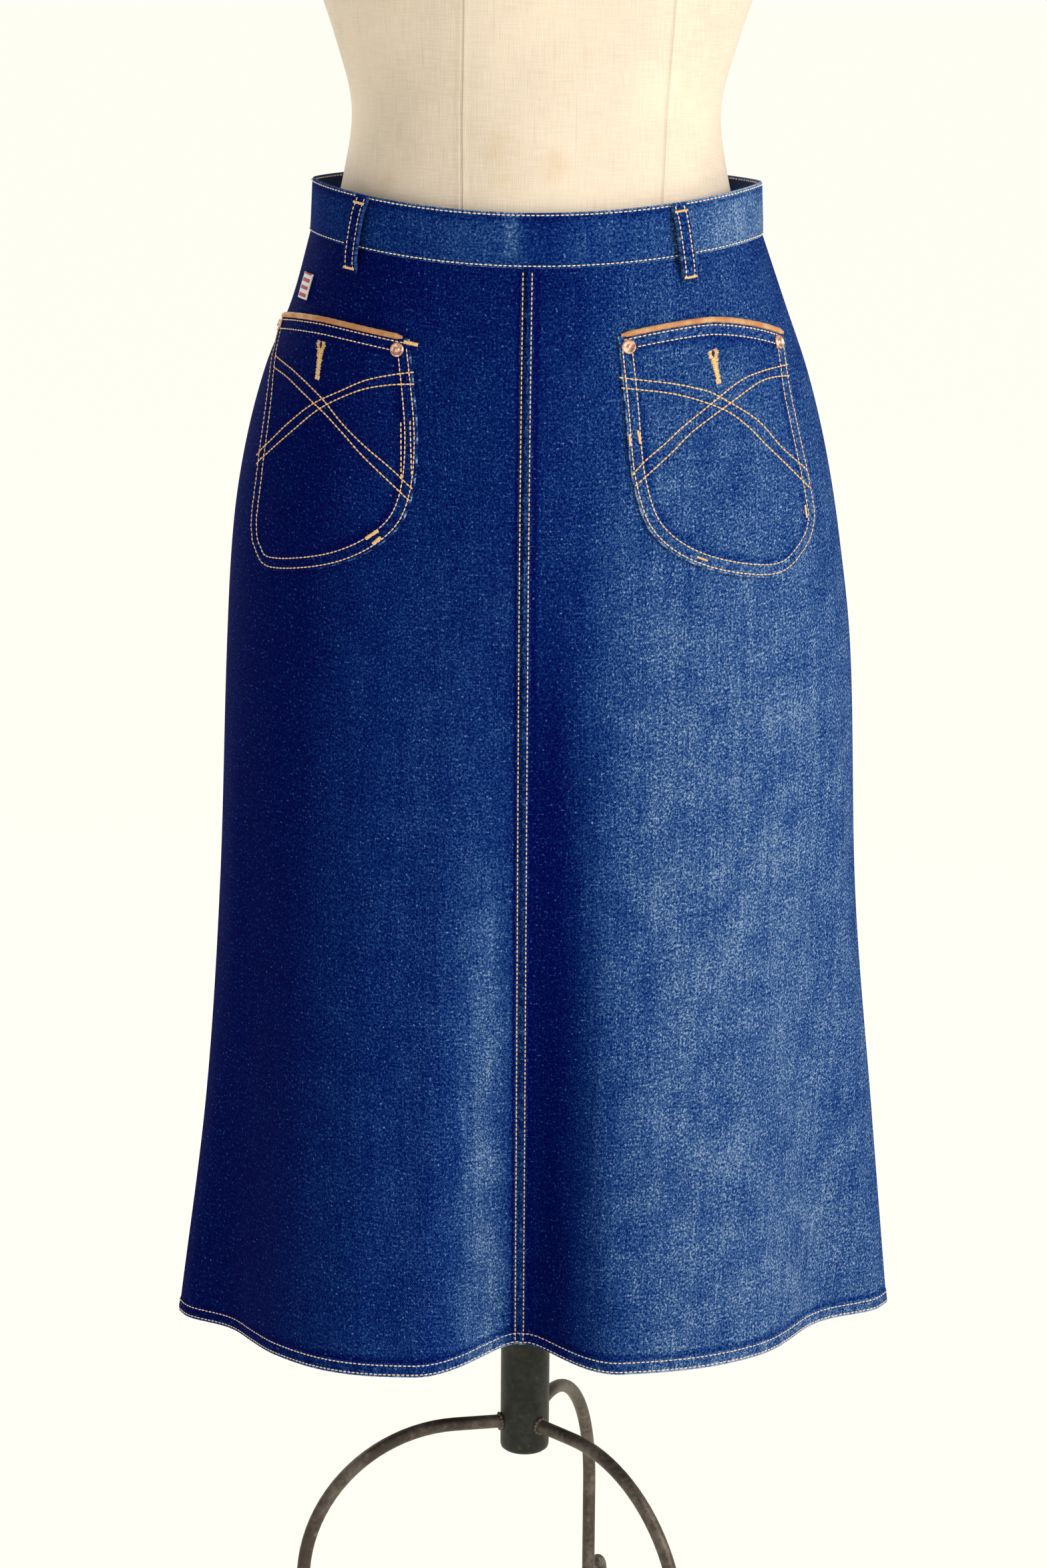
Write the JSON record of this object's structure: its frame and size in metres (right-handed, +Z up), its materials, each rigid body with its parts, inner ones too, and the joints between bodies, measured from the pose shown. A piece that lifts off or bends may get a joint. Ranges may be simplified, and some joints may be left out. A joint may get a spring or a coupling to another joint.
{
  "type": "denim skirt on a dress form",
  "caption": "Mid-length denim skirt with curved leather-edged patch pockets and belt loops, worn by a limbless linen dress form on a three-legged iron stand.",
  "frame": {"origin": "on the floor under the middle of the whole object's box", "axes": "+Z up; -Y is the side shown, with the two leather-edged pockets; +X is the viewer's right from there"},
  "size_m": [0.4952, 0.3294, 1.56],
  "materials": {
    "denim": "indigo cotton twill, worn, with pale flecks",
    "band_denim": "faded indigo cotton twill",
    "leather": "tan binding, satin",
    "copper": "copper-plated, lightly worn",
    "zip_tape": "woven tape",
    "label": "woven tab, plain stripes",
    "thread": "cotton topstitching, gold",
    "linen": "natural linen stretched on a hollow shell",
    "iron": "bare bar and tube, dull, lightly scuffed"
  },
  "bodies": {
    "root": {"back_lap": "denim", "back_left": "denim", "back_right": "denim", "dress_form": "linen", "front_left": "denim", "front_right": "denim", "label_tab": "label", "leg_back": "iron", "leg_front": "iron", "leg_left": "iron", "loop_back_left": "denim", "loop_back_right": "denim", "loop_front_left": "denim", "loop_front_right": "denim", "pocket_back_left": "denim", "pocket_back_right": "denim", "pocket_front_left": "denim", "pocket_front_right": "denim", "rivet_back_left_inner": "copper", "rivet_back_left_outer": "copper", "rivet_back_right_inner": "copper", "rivet_back_right_outer": "copper", "rivet_front_left_inner": "copper", "rivet_front_left_outer": "copper", "rivet_front_right_inner": "copper", "rivet_front_right_outer": "copper", "stand_post": "iron", "trim_back_left": "leather", "trim_back_right": "leather", "trim_front_left": "leather", "trim_front_right": "leather", "waist_button": "copper", "waistband": "band_denim", "zip": "zip_tape"}
  },
  "joints": []
}
